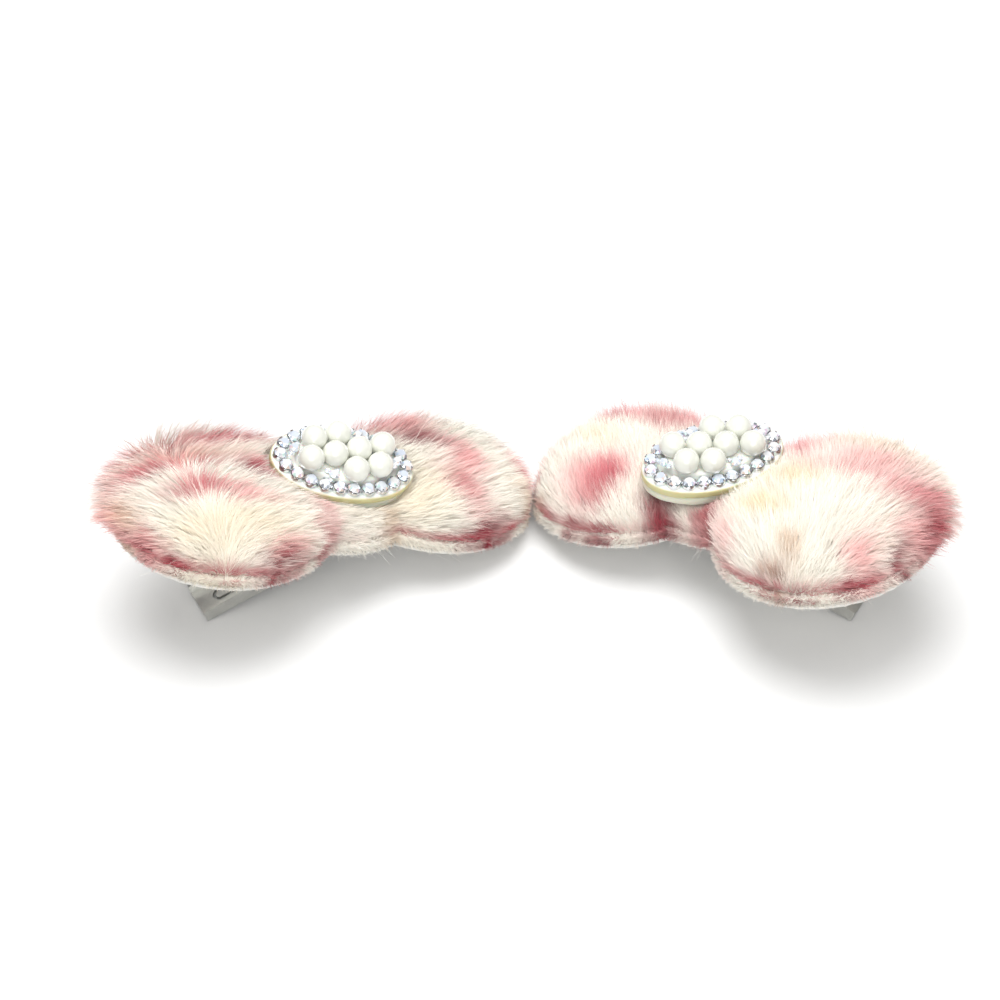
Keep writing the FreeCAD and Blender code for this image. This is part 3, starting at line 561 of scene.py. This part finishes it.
def make_bow(side):
    """Felt backing, underlay, stuffed skin with its filling, fur and loose threads."""
    body = f"{side}_bow"
    placed = bow_frame(side)
    flip = BOWS[side]["sign"] < 0
    angles = np.linspace(0, 2 * math.pi, 361)[:-1]
    skin_lobes = lobes(side, SKIN_TRIM, SKIN_WAIST)
    edge, skin_edge = outline(lobes(side, 0.0, FELT_WAIST), angles), outline(skin_lobes, angles)

    points, faces = turned(edge + 0.12 * waves(np.stack([np.cos(angles), np.sin(angles)], 1), 0.06, 3),
                           angles, slab_rows(0.0, BACKING_TOP - 0.02, 0.3))
    felt = make_mesh(f"{side}_felt", mirrored(droop(points), side), faces, placed, FELT, flip)
    place(felt, body, "felt", f"{side}_felt_backing")
    threads = make_threads(side, edge, angles)

    points, faces = turned(edge, angles, slab_rows(BACKING_TOP + 0.03, UNDERLAY_TOP - 0.05, 0.7))
    underlay = make_mesh(f"{side}_underlay", mirrored(droop(points), side), faces, placed, SKIN, flip)
    # the underlay takes the fur's pattern a tenth darker: painted shade under the cover and its fur
    paint(underlay, "tint", pattern(points[:, 0], points[:, 1], side) * 0.9)
    lay_flat(underlay, points[:, :2] / LAYOUT + 0.5)
    place(underlay, body, "plush_lower", f"{side}_plush_underlay")
    rim_points, rim_faces = points, faces

    # the stuffed skin: a flat underside, and a top that is flat until the dome's heights are set
    steps, lifted = 46, 9.0
    shares = [math.sin(math.pi / 2 * step / steps) for step in range(1, steps + 1)]
    rows = [(0.0, 0.0, UNDERLAY_TOP)] + [(s, 0.0, UNDERLAY_TOP) for s in (0.25, 0.5, 0.75, 0.9)]
    rows += [(s, 0.0, lifted) for s in shares[::-1]] + [(0.0, 0.0, lifted)]
    points, faces = turned(skin_edge, angles, rows)
    top = points[:, 2] == lifted
    lumps = waves(points[:, :2], 9.0, 11) * 0.28
    rise = dome(points[:, 0], points[:, 1], skin_lobes)
    points[top, 2] = (UNDERLAY_TOP + rise + lumps * np.minimum(1.0, rise / 2.0))[top]
    skin = droop(points)
    cover = make_mesh(f"{side}_cover", mirrored(skin, side), faces, placed, SKIN, flip)
    # the cover takes the fur's pattern a tenth darker: painted shade under the fur
    paint(cover, "tint", pattern(points[:, 0], points[:, 1], side) * 0.9)
    lay_flat(cover, points[:, :2] / LAYOUT + 0.5)
    place(cover, body, "plush_upper", f"{side}_plush_cover")

    for label, lobe in (("outer", skin_lobes[0]), ("inner", skin_lobes[1])):
        make_wad(side, label, lobe, angles)

    # fur of the cover: short near the rim on the near side, long near the far rim, low on the waist
    count = FUR_COUNT
    roots, normals = sample(skin, faces, count,
                            lambda middle, way: (way[:, 2] > -0.3) & (middle[:, 2] > 1.0))
    rim = np.hypot(roots[:, 0], roots[:, 1])
    way = np.arctan2(roots[:, 1], roots[:, 0]) % (2 * math.pi)
    inset = np.interp(way, np.append(angles, 2 * math.pi), np.append(skin_edge, skin_edge[0])) - rim
    near = np.clip(-roots[:, 1] / 9.0, 0, 1) * np.clip(1 - inset / 5.0, 0, 1)
    far = np.clip(roots[:, 1] / 10.0, 0, 1) * np.clip(1 - inset / 7.0, 0, 1)
    length = RNG.normal(FUR_LENGTH, FUR_UNEVEN, len(roots)) * (1 - 0.62 * near + 0.4 * far)
    length *= np.where(RNG.random(len(roots)) < 0.10, 1.35, 1.0)
    length *= 1 - 0.35 * np.exp(-(roots[:, 0] + 1) ** 2 / 90.0)
    length = np.clip(length, FUR_SHORTEST, FUR_LONGEST)
    lean = RNG.normal(1.0, 0.15, len(roots))
    shown = roots[:, :2] + shown_shift(side, normals) * length[:, None]
    colours = pattern(shown[:, 0], shown[:, 1], side)
    # painted shade: a dark rose stripe along the near rim of both lobes, in the seam where the cover's fur
    # overhangs the underlay
    rim_shade = np.exp(-(np.clip(inset, 0, None) / 0.8) ** 2) * (0.6 + 0.35 * waves(roots[:, :2], 9.0, 47))
    rim_shade *= np.clip(-roots[:, 1] / 6.0, 0, 1) * np.clip(np.abs(roots[:, 0]) / 10.0, 0, 1)
    colours = colours * (1 - rim_shade[:, None]) + TINTS["red"] * rim_shade[:, None]
    grow_fur(side, "fur", roots, normals, length, lean, colours, 2)

    # short fringe round the underlay's edge
    count = FRINGE_COUNT
    roots, normals = sample(droop(rim_points), rim_faces, count,
                            lambda middle, way: (np.abs(way[:, 2]) < 0.75)
                            | ((way[:, 2] > 0) & outside(middle, skin_lobes)))
    length = RNG.uniform(0.7, 1.7, count)
    inner = roots[:, :2] * 0.95
    colours = pattern(inner[:, 0], inner[:, 1], side)
    grow_fur(side, "fringe", roots, normals, length, np.full(count, 0.35), colours, 1)


def shown_shift(side, normals):
    """How far along the bow a strand's visible part lies from its root, for each millimetre of it."""
    rotation, _ = bow_frame(side)
    comb = COMB[side] @ rotation
    comb[0] *= BOWS[side]["sign"]
    tangent = comb - (normals @ comb)[:, None] * normals
    return (tangent * 0.35 + normals * 0.4)[:, :2]


def make_wad(side, label, lobe, angles):
    """Fibre filling inside a lobe."""
    cx, cy, half_length, half_width, turn, height = lobe
    shrink = 0.78
    size = (half_length * shrink, half_width * shrink)
    edge = ellipse_outline(size, turn, angles)
    steps = 14
    rows = [(0.0, 0.0, 0.0)] + [(s, 0.0, 0.0) for s in (0.4, 0.8)]
    rows += [(math.sin(math.pi / 2 * step / steps), 0.0, 1.0) for step in range(steps, 0, -1)]
    rows += [(0.0, 0.0, 1.0)]
    points, faces = turned(edge, angles, rows)
    inside = inside_value(points[:, 0], points[:, 1], (0, 0, *size, turn, 1))
    points[:, 2] *= height * 0.8 * np.sqrt(np.clip(inside, 0, 1))
    points[:, 2] += UNDERLAY_TOP + 0.15 + 0.12 * waves(points, 3.0, 17)
    points[:, 0] += cx
    points[:, 1] += cy
    wad = make_mesh(f"{side}_{label}_wad", mirrored(droop(points), side), faces, bow_frame(side),
                    FIBRE, BOWS[side]["sign"] < 0)
    place(wad, f"{side}_bow", "fibre_fill", f"{side}_{label}_filling")


def make_threads(side, edge, angles):
    """Loose threads where the felt was cut, most of them along the near edge of the waist."""
    points, faces = [], []
    for number in range(260):
        along = RNG.uniform(0, 2 * math.pi) if number < 60 else RNG.normal(1.5 * math.pi, 0.75)
        radius = float(np.interp(along % (2 * math.pi), angles, edge))
        outward = np.array([math.cos(along), math.sin(along), 0.0])
        spot = outward * (radius - 0.25) + np.array([0, 0, RNG.uniform(0.2, 0.7)])
        way = outward + RNG.normal(scale=0.7, size=3) * np.array([1, 1, 0.35])
        bend = RNG.normal(scale=1.0, size=3) * np.array([1, 1, 0.3])
        length = RNG.uniform(0.4, 1.5)
        thick = RNG.uniform(0.025, 0.05)
        first = len(points)
        for step in range(5):
            s = step / 4
            middle = spot + length * (way * s + bend * s * s * 0.6)
            for corner in range(3):
                a = 2 * math.pi * corner / 3
                points.append(middle + thick * (1 - 0.6 * s) * np.array([
                    -outward[1] * math.cos(a), outward[0] * math.cos(a), math.sin(a)]))
        for step in range(4):
            for corner in range(3):
                low, after = first + 3 * step, (corner + 1) % 3
                faces.append((low + corner, low + after, low + 3 + after, low + 3 + corner))
        faces.append((first + 2, first + 1, first))
        faces.append((first + 12, first + 13, first + 14))
    points = droop(np.array(points))
    rotation, origin = bow_frame(side)
    world = mirrored(points, side) @ rotation.T + origin
    world[:, 2] = np.maximum(world[:, 2], 0.1)
    points = (world - origin) @ rotation
    threads = make_mesh(f"{side}_threads", points, faces, bow_frame(side), FELT,
                        BOWS[side]["sign"] < 0)
    return place(threads, f"{side}_bow", "felt")


# ---- ornaments -------------------------------------------------------------------

def ring_spots(sign, size, count):
    """Evenly spaced spots round an ellipse turned as the ring is."""
    t = np.linspace(0, 2 * math.pi, 2001)
    x, y = size[0] * np.cos(t), size[1] * np.sin(t)
    run = np.concatenate([[0], np.cumsum(np.hypot(np.diff(x), np.diff(y)))])
    at = np.arange(count) * run[-1] / count
    x, y = np.interp(at, run, x), np.interp(at, run, y)
    a = math.radians(-sign * RING_TURN)
    return np.stack([x * math.cos(a) - y * math.sin(a), x * math.sin(a) + y * math.cos(a)], 1)


# facet colours of the coated stones: painted reflections and colour flashes of light, the palest first, and
# one grey that stands for painted shade from the cups
FACET_GLINTS_AND_SHADE = [linear(*rgb) for rgb in (
    (250, 252, 255), (236, 242, 250), (252, 252, 252), (226, 234, 248), (240, 214, 236),
    (206, 226, 250), (214, 246, 238), (248, 226, 214), (214, 220, 228), (150, 156, 166),
    (255, 255, 255), (238, 246, 252))]


def add_stone(points, faces, flashes, x, y, low, radius, table, height):
    """A cut stone: table, star and main facets, girdle and pavilion."""
    spin = RNG.uniform(0, math.pi / 4)
    lean = RNG.normal(scale=0.07, size=2)
    first = len(points)
    girdle, top = low + height * 0.5, low + height
    for k in range(8):
        a = spin + k * math.pi / 4
        points.append([x + radius * math.cos(a), y + radius * math.sin(a), girdle])
    for k in range(8):
        a = spin + k * math.pi / 4
        points.append([x + radius * math.cos(a), y + radius * math.sin(a), girdle + 0.1])
    for k in range(8):
        a = spin + (k + 0.5) * math.pi / 4
        px, py = table * math.cos(a), table * math.sin(a)
        points.append([x + px, y + py, top + lean[0] * px + lean[1] * py])
    points.append([x, y, low])
    made = []
    for k in range(8):
        j = (k + 1) % 8
        made.append((first + 24, first + j, first + k))
        made.append((first + k, first + j, first + 8 + j, first + 8 + k))
        made.append((first + 8 + k, first + 8 + j, first + 16 + k))
        made.append((first + 16 + k, first + 8 + j, first + 16 + j))
    made.append(tuple(first + 16 + k for k in range(8)))
    for face in made:
        faces.append(face)
        # the table takes one of the first, palest painted glints
        choice = len(FACET_GLINTS_AND_SHADE) if len(face) < 8 else 4
        colour = FACET_GLINTS_AND_SHADE[int(RNG.integers(choice))]
        flashes.extend([colour] * len(face))


def add_cup(points, faces, x, y, heading):
    """An open cup with four prongs folded over its stone."""
    count = 20
    lip, inside = CUP_RADIUS - 0.08, CUP_RADIUS - 0.16
    rings = [(CUP_RADIUS, PLATE_TOP), (CUP_RADIUS, PLATE_TOP + 0.85), (lip, PLATE_TOP + 0.95),
             (inside, PLATE_TOP + 0.85), (inside, PLATE_TOP + 0.1)]
    first = len(points)
    for radius, height in rings:
        for k in range(count):
            a = 2 * math.pi * k / count
            points.append([x + radius * math.cos(a), y + radius * math.sin(a), height])
    points.append([x, y, PLATE_TOP])
    points.append([x, y, PLATE_TOP + 0.1])
    for row in range(len(rings) - 1):
        for k in range(count):
            j = (k + 1) % count
            low, high = first + row * count, first + (row + 1) * count
            faces.append((low + k, low + j, high + j, high + k))
    end = first + len(rings) * count
    for k in range(count):
        j = (k + 1) % count
        faces.append((end, first + j, first + k))
        inner = first + (len(rings) - 1) * count
        faces.append((inner + k, inner + j, end + 1))
    for prong in range(4):
        a = heading + math.pi / 4 + prong * math.pi / 2
        base = len(points)
        out = np.array([math.cos(a), math.sin(a), 0])
        side_way = np.array([-math.sin(a), math.cos(a), 0])
        # how far in from the cup's wall, height, half width and half thickness
        spots = [(0.03, 0.7, 0.22, 0.07), (0.04, 1.1, 0.20, 0.07), (0.20, 1.36, 0.16, 0.07),
                 (0.40, 1.46, 0.11, 0.05)]
        for inward, height, half, thick in spots:
            middle = np.array([x, y, PLATE_TOP + height]) + out * (CUP_RADIUS - inward)
            lift = out * 0.8 + np.array([0, 0, 0.6])
            for u, v in ((-1, -1), (1, -1), (1, 1), (-1, 1)):
                points.append(middle + side_way * half * u + lift * thick * v)
        for row in range(3):
            for k in range(4):
                j = (k + 1) % 4
                low = base + row * 4
                faces.append((low + k, low + j, low + 4 + j, low + 4 + k))
        faces.append((base + 3, base + 2, base + 1, base))
        faces.append(tuple(base + 12 + k for k in range(4)))


def plate_rows(boss):
    """Rows of the plate with rounded edges and a raised middle; boss is its share of the outline."""
    share = float(np.mean(boss))
    shares = (0.2, 0.5, 0.8, 0.93)
    rows = slab_rows(PAD_TOP, PLATE_TOP, 0.5, shares)
    rim = rows[:-len(shares) - 1]
    middle = [(share + 0.02, 0.0, PLATE_TOP), (share, 0.0, PLATE_TOP + 0.1), (share, 0.0, BOSS_TOP - 0.4),
              (share - 0.02, 0.0, BOSS_TOP - 0.12), (share - 0.06, 0.0, BOSS_TOP),
              (0.4, 0.0, BOSS_TOP), (0.2, 0.0, BOSS_TOP), (0.0, 0.0, BOSS_TOP)]
    return rim + [(shares[-1], 0.5, PLATE_TOP)] + middle


def make_ornament(side):
    """Milky pad, oval plate, ring of set stones, filler stones and pearls."""
    body = f"{side}_bow"
    sign = BOWS[side]["sign"]
    placed = ornament_frame(side)
    angles = np.linspace(0, 2 * math.pi, 193)[:-1]
    edge = ellipse_outline(PAD_SIZE, -sign * RING_TURN, angles)
    ripple = 0.18 * waves(np.stack([np.cos(angles), np.sin(angles)], 1), 0.7, 23)
    points, faces = turned(edge + ripple, angles, slab_rows(0.0, PAD_TOP, 0.8))
    pad = make_mesh(f"{side}_pad", points, faces, placed, MILKY)
    place(pad, body, "ornament_glue", f"{side}_ornament_pad")
    edge = ellipse_outline(PLATE_SIZE, -sign * RING_TURN, angles)
    boss = ellipse_outline(BOSS_SIZE, -sign * RING_TURN, angles) / edge
    points, faces = turned(edge, angles, plate_rows(boss))
    plate = make_mesh(f"{side}_plate", points, faces, placed, PLATE)
    # the sides keep the plate's own olive; the top is painted pale ivory, partly its own tone and partly
    # painted light falling on it from above
    upper = np.clip((points[:, 2:] - PLATE_TOP + 0.3) / 0.3, 0, 1)
    paint(plate, "tint", linear(212, 206, 152) * (1 - upper) + linear(240, 240, 232) * upper)
    place(plate, body, "ornament_plate", f"{side}_ornament_plate")

    points, faces, flashes, cup_points, cup_faces = [], [], [], [], []
    for x, y in ring_spots(sign, RING_SIZE, RING_COUNT):
        add_stone(points, faces, flashes, x, y, PLATE_TOP + 0.3, STONE_RADIUS, STONE_TABLE, STONE_HEIGHT)
        add_cup(cup_points, cup_faces, x, y, math.atan2(y, x))
    stones = make_mesh(f"{side}_stones", np.array(points), faces, placed, STONE, smooth=False)
    paint(stones, "flash", np.array(flashes), "CORNER")
    place(stones, body, "crystal", f"{side}_ring_stones")
    cups = make_mesh(f"{side}_cups", np.array(cup_points), cup_faces, placed, CUP, smooth=False)
    place(cups, body, "cup_metal", f"{side}_cup_ring")

    points, faces, flashes = [], [], []
    for x, y in ((4.2, 3.9), (-4.2, -3.9), (-9.3, 3.6), (9.3, -3.6)):
        for dx, dy, radius in ((0, 0, 1.05), (1.15, 0.9, 0.5), (-1.1, -0.9, 0.45)):
            add_stone(points, faces, flashes, sign * (x + dx), y + dy, BOSS_TOP, radius, radius * 0.6,
                      radius * 1.15)
    pearls = pearl_spots(sign)
    for x, y in ring_spots(sign, BEAD_RING_SIZE, BEAD_COUNT):
        if np.min(np.hypot(pearls[:, 0] - x, pearls[:, 1] - y)) > PEARL_RADIUS + 0.1:
            add_stone(points, faces, flashes, x, y, BOSS_TOP, BEAD_RADIUS, 0.36, 0.7)
    fillers = make_mesh(f"{side}_fillers", np.array(points), faces, placed, STONE, smooth=False)
    paint(fillers, "flash", np.array(flashes), "CORNER")
    place(fillers, body, "crystal_small", f"{side}_filler_stones")

    for number, (x, y) in enumerate(pearls, 1):
        make_pearl(side, number, x, y)


def pearl_spots(sign):
    """Middles of the pearls: rows of two, four and two, packed close."""
    spots = []
    for middle, count, row in ((-0.5, 2, 1), (0.0, 4, 0), (0.5, 2, -1)):
        for index in range(count):
            spots.append((sign * (middle + index - (count - 1) / 2) * PEARL_PITCH,
                          row * PEARL_PITCH * math.sqrt(3) / 2))
    return np.array(spots)


def make_pearl(side, number, x, y):
    """A half-round pearl, flat where it sits on the plate."""
    flat = math.radians(PEARL_FLAT)
    low = BOSS_TOP
    middle = low + PEARL_RADIUS * math.sin(flat)
    count, rows = 64, []
    for share in (0.0, 0.5):
        rows.append((share * PEARL_RADIUS * math.cos(flat), low))
    for step in range(41):
        a = -flat + (math.pi / 2 + flat) * step / 40
        rows.append((PEARL_RADIUS * math.cos(a), middle + PEARL_RADIUS * math.sin(a)))
    rows[-1] = (0.0, rows[-1][1])
    angles = np.linspace(0, 2 * math.pi, count + 1)[:-1]
    turned_rows = [(radius / PEARL_RADIUS, 0.0, height) for radius, height in rows]
    points, faces = turned(np.full(count, PEARL_RADIUS), angles, turned_rows)
    points[:, 0] += x
    points[:, 1] += y
    pearl = make_mesh(f"{side}_pearl_bead_{number}", points, faces, ornament_frame(side), PEARL)
    place(pearl, f"{side}_bow", "pearl", f"{side}_pearl_{number}")


# ---- clips -----------------------------------------------------------------------

def tube(name, path, radius, frame_of, finish, flip):
    """A round wire along a path."""
    path = np.array(path, float)
    ahead = unit(np.gradient(path, axis=0))
    points, faces, count = [], [], 12
    start = np.array([0.0, 1.0, 0.0]) if abs(ahead[0][1]) < 0.9 else np.array([0.0, 0.0, 1.0])
    for spot, way in zip(path, ahead):
        start = start - (start @ way) * way
        start /= np.linalg.norm(start)
        other = np.cross(way, start)
        for k in range(count):
            a = 2 * math.pi * k / count
            points.append(spot + radius * (start * math.cos(a) + other * math.sin(a)))
    for row in range(len(path) - 1):
        for k in range(count):
            j = (k + 1) % count
            faces.append((row * count + k, row * count + j, (row + 1) * count + j, (row + 1) * count + k))
    faces.append(tuple(range(count - 1, -1, -1)))
    faces.append(tuple((len(path) - 1) * count + k for k in range(count)))
    return make_mesh(name, np.array(points), faces, frame_of, finish, flip)


def make_clip(side):
    """Glue bead and coil spring; the arms and the pin are the CAD's own."""
    sign = BOWS[side]["sign"]
    placed = clip_frame(side)
    angles = np.linspace(0, 2 * math.pi, 121)[:-1]
    edge = ((np.abs(np.cos(angles)) / GLUE_HALF_LENGTH) ** 4
            + (np.abs(np.sin(angles)) / GLUE_HALF_WIDTH) ** 4) ** -0.25
    points, faces = turned(edge, angles, slab_rows(-GLUE_THICK, 0.0, 0.25))
    points[:, 0] += 1.0
    points[:, 1] *= 1.0 - 0.06 * np.abs(waves(points[:, :1], 9.0, 31))
    bead = make_mesh(f"{side}_glue", points * np.array([sign, 1, 1]), faces, placed, GLUE, sign < 0)
    place(bead, f"{side}_bow", "clip_glue", f"{side}_glue_bead")

    radius, wire, turns, half = 1.47, 0.25, 5, 1.1
    coil = []
    for step in range(turns * 24 + 1):
        a = 2 * math.pi * step / 24
        along = half * (2 * step / (turns * 24) - 1)
        coil.append((radius * math.sin(a), along, radius * math.cos(a) - PIVOT_DROP))
    upper = [(-9.6, -half, -1.75), (-6.5, -half, -2.1), (-3.0, -half, -2.9), (-1.2, -half, -3.7)]
    path = np.array(upper + coil) * np.array([sign, 1, 1])
    spring = tube(f"{side}_spring", path, wire, placed, SPRING, False)
    place(spring, f"{side}_bow", "spring_steel", f"{side}_clip_spring")
    slope = math.radians(TAIL_SLOPE)
    fall = np.array([-math.cos(slope), 0, -math.sin(slope)])
    down = np.array([math.sin(slope), 0, -math.cos(slope)])
    pivot = np.array([0, half, -PIVOT_DROP])
    leg = [pivot + fall * s + down * (radius + 0.15 * s / 10) for s in (0.3, 3.0, 6.5, 9.8)]
    lower = tube(f"{side}_spring_leg", np.array(leg) * np.array([sign, 1, 1]), wire, placed, SPRING, False)
    place(lower, f"{side}_jaw", "spring_steel")

    for node, slot_name in ((f"{side}_upper_arm", "clip_steel"), (f"{side}_lower_arm", "clip_steel"),
                            (f"{side}_pivot_pin", "pin_steel")):
        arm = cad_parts[node]
        arm.data.materials.clear()
        arm.data.materials.append(NICKEL)


for side in BOWS:
    make_bow(side)
    make_ornament(side)
    make_clip(side)


# ---- floor, light and camera ---------------------------------------------------------

AIM = Vector((-0.00475, 0.01875, 0.0))
ELEVATION, DISTANCE = math.radians(47.0), 0.6

bpy.ops.mesh.primitive_plane_add(size=6.0, location=(0, 0, 0))
floor = bpy.context.object
floor.name = "floor"
FLOOR = material("floor", (0.88, 0.88, 0.876), 0.7, 0.004, 3.0, Specular_IOR_Level=0.2)
floor.data.materials.append(FLOOR)


def lamp(name, where, size, power):
    """A round soft light that faces the camera's aim."""
    data = bpy.data.lights.new(name, "AREA")
    data.shape = "DISK"
    data.size = size
    data.energy = power
    obj = bpy.data.objects.new(name, data)
    bpy.context.scene.collection.objects.link(obj)
    obj.location = where
    obj.rotation_mode = "QUATERNION"
    obj.rotation_quaternion = (AIM - Vector(where)).to_track_quat("-Z", "Y")


lamp("key", (-0.05, 0.12, 0.85), 0.7, 6.2)
lamp("top", (0.05, -0.10, 0.95), 0.8, 3.4)
lamp("front", (0.0, -0.70, 0.60), 0.7, 2.8)

world = bpy.data.worlds.new("studio")
bpy.context.scene.world = world
world.use_nodes = True
world.node_tree.nodes["Background"].inputs["Color"].default_value = (1.0, 1.0, 1.0, 1.0)
world.node_tree.nodes["Background"].inputs["Strength"].default_value = 0.23

camera_data = bpy.data.cameras.new("camera")
camera_data.lens = 109.5
camera_data.sensor_width = 36.0
camera_data.clip_start = 0.01
camera_data.clip_end = 20.0
camera = bpy.data.objects.new("camera", camera_data)
bpy.context.scene.collection.objects.link(camera)
camera.location = AIM + Vector((0, -math.cos(ELEVATION), math.sin(ELEVATION))) * DISTANCE
camera.rotation_mode = "QUATERNION"
camera.rotation_quaternion = (AIM - camera.location).to_track_quat("-Z", "Y")
bpy.context.scene.camera = camera

settings = bpy.context.scene.view_settings
settings.view_transform = "Standard"
settings.look = "None"
settings.exposure = 0.0
settings.gamma = 1.0
